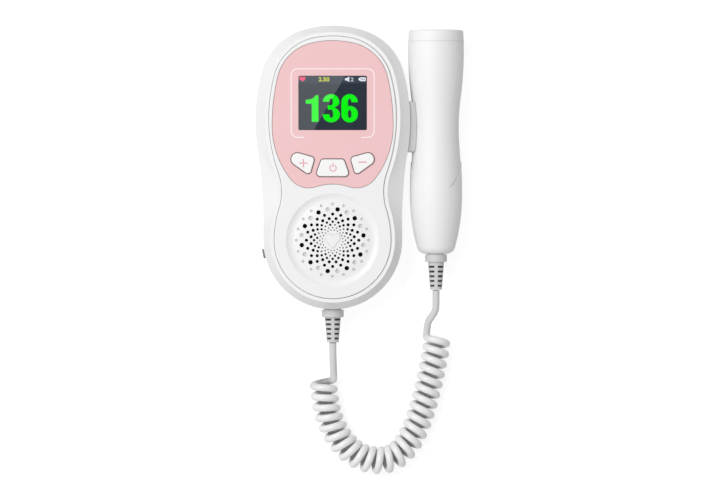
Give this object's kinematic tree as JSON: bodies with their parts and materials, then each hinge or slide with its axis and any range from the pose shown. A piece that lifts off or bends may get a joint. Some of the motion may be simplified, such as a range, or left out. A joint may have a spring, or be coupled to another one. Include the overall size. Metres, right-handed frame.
{
  "type": "fetal doppler monitor",
  "caption": "Pocket fetal heart monitor with display, buttons and speaker grille, and a handheld ultrasound probe docked at its side on a curly cord.",
  "frame": {"origin": "centre of the main unit's flat back, on its centre line", "axes": "+Z out of the face, +Y towards the display end, +X towards the docked probe"},
  "size_m": [0.106, 0.2283, 0.0319],
  "materials": {
    "shell_white": "satin moulded ABS",
    "face_white": "satin moulded ABS",
    "film_pink": "printed polycarbonate film",
    "lens_clear": "clear acrylic lens",
    "display_dark": "display glass",
    "tray_white": "moulded nylon",
    "button_white": "moulded, with printed symbols",
    "switch_black": "moulded switch cases",
    "board_green": "glass-fibre circuit board",
    "jack_grey": "moulded socket",
    "basket_steel": "pressed steel",
    "cone_black": "coated paper",
    "magnet_grey": "ferrite or plated magnet",
    "gasket_black": "closed-cell foam",
    "cell_wrap": "plain AA cell wrap",
    "seal_white": "soft silicone seal",
    "contact_nickel": "nickel-plated spring sheet",
    "screw_steel": "plated steel",
    "relief_white": "soft white PVC",
    "cord_white": "soft white PVC jacket",
    "crystal_ceramic": "piezo ceramic"
  },
  "bodies": {
    "main_unit": {"rear_cover": "shell_white", "front_cover": "shell_white", "face_panel": "face_white", "face_film": "film_pink", "display_lens": "lens_clear", "display_glass": "display_dark", "display_tray": "tray_white", "tact_switches": "switch_black", "main_board": "board_green", "earphone_jack": "jack_grey", "speaker_frame": "basket_steel", "speaker_cone": "cone_black", "speaker_magnet": "magnet_grey", "speaker_gasket": "gasket_black", "battery_cells": "cell_wrap", "battery_contacts": "contact_nickel", "case_screws": "screw_steel", "board_screws": "screw_steel", "probe_dock": "shell_white", "hold_magnet": "magnet_grey", "main_strain_relief": "relief_white", "cord_lead_main": "cord_white", "cord_coil": "cord_white", "cord_lead_probe": "cord_white"},
    "battery_door": {"battery_door": "shell_white"},
    "plus_button": {"plus_button": "button_white"},
    "power_button": {"power_button": "button_white"},
    "minus_button": {"minus_button": "button_white"},
    "probe": {"probe_front_shell": "shell_white", "probe_back_shell": "shell_white", "probe_cap": "shell_white", "probe_gasket": "seal_white", "crystals": "crystal_ceramic", "probe_board": "board_green", "keeper_plate": "basket_steel", "probe_screws": "screw_steel", "probe_strain_relief": "relief_white"}
  },
  "joints": [
    {"name": "plus_press", "type": "slide", "parent": "main_unit", "child": "plus_button", "axis": [0, 0, -1], "range_m": [0, 0.0005], "stiffness_N_per_m": 800},
    {"name": "power_press", "type": "slide", "parent": "main_unit", "child": "power_button", "axis": [0, 0, -1], "range_m": [0, 0.0005], "stiffness_N_per_m": 800},
    {"name": "minus_press", "type": "slide", "parent": "main_unit", "child": "minus_button", "axis": [0, 0, -1], "range_m": [0, 0.0005], "stiffness_N_per_m": 800},
    {"name": "battery_door_hinge", "type": "hinge", "parent": "main_unit", "child": "battery_door", "pos_m": [0, 0.03965, 0.0009], "axis": [1, 0, 0], "range_deg": [0, 95]},
    {"name": "probe_pull", "type": "slide", "parent": "main_unit", "child": "probe", "axis": [1, 0, 0], "range_m": [0, 0.04]}
  ]
}
